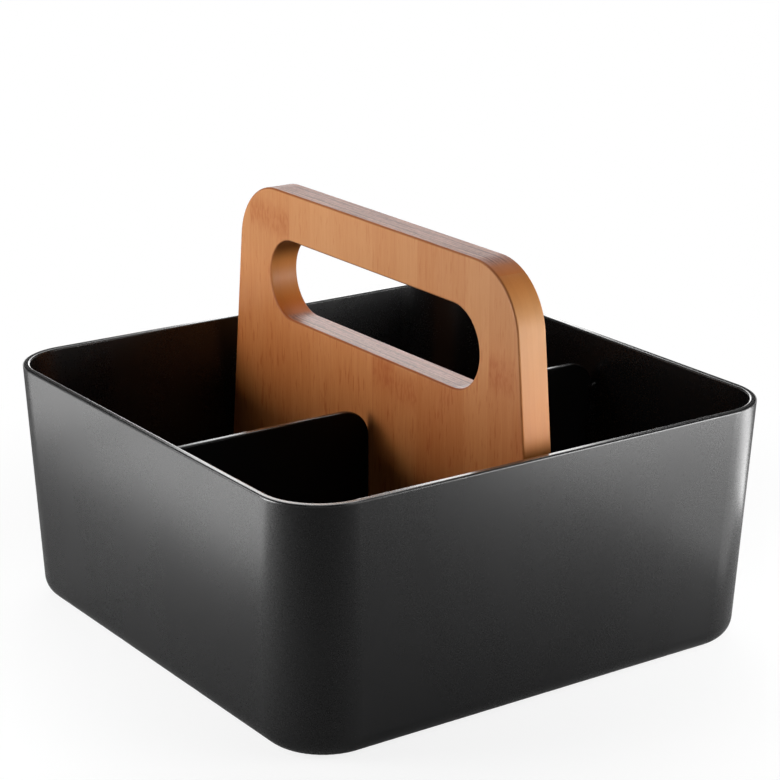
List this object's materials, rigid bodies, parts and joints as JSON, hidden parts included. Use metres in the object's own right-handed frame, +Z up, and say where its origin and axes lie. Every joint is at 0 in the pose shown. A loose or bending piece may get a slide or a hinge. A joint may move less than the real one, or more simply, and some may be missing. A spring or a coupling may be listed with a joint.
{
  "type": "utensil caddy",
  "caption": "Square open-topped plastic caddy with a bamboo carrying board with a hand hole across its middle and lift-out dividers that make its compartments.",
  "frame": {"origin": "on the table under the middle of the tub", "axes": "+Z up; +X along the carrying board; the dividers run along Y, the front one towards -Y"},
  "size_m": [0.23, 0.23, 0.1694],
  "materials": {
    "tub_plastic": "satin black, fine moulded grain",
    "divider_plastic": "satin black",
    "bamboo_face": "caramelised bamboo, grain upright, thin clear oil",
    "bamboo_core": "caramelised bamboo, strips glued side by side",
    "screw_steel": "zinc plated",
    "foot_rubber": "matte"
  },
  "bodies": {
    "caddy": {"tub": "tub_plastic", "handle_front_ply": "bamboo_face", "handle_core_ply": "bamboo_core", "handle_back_ply": "bamboo_face", "handle_screws": "screw_steel", "foot_front_left": "foot_rubber", "foot_front_right": "foot_rubber", "foot_back_left": "foot_rubber", "foot_back_right": "foot_rubber"},
    "front_divider_panel": {"front_divider": "divider_plastic"},
    "back_divider_panel": {"back_divider": "divider_plastic"}
  },
  "joints": [
    {"name": "front_divider_lift", "type": "slide", "parent": "caddy", "child": "front_divider_panel", "axis": [0, 0, 1], "range_m": [0, 0.1]},
    {"name": "back_divider_lift", "type": "slide", "parent": "caddy", "child": "back_divider_panel", "axis": [0, 0, 1], "range_m": [0, 0.1]}
  ]
}
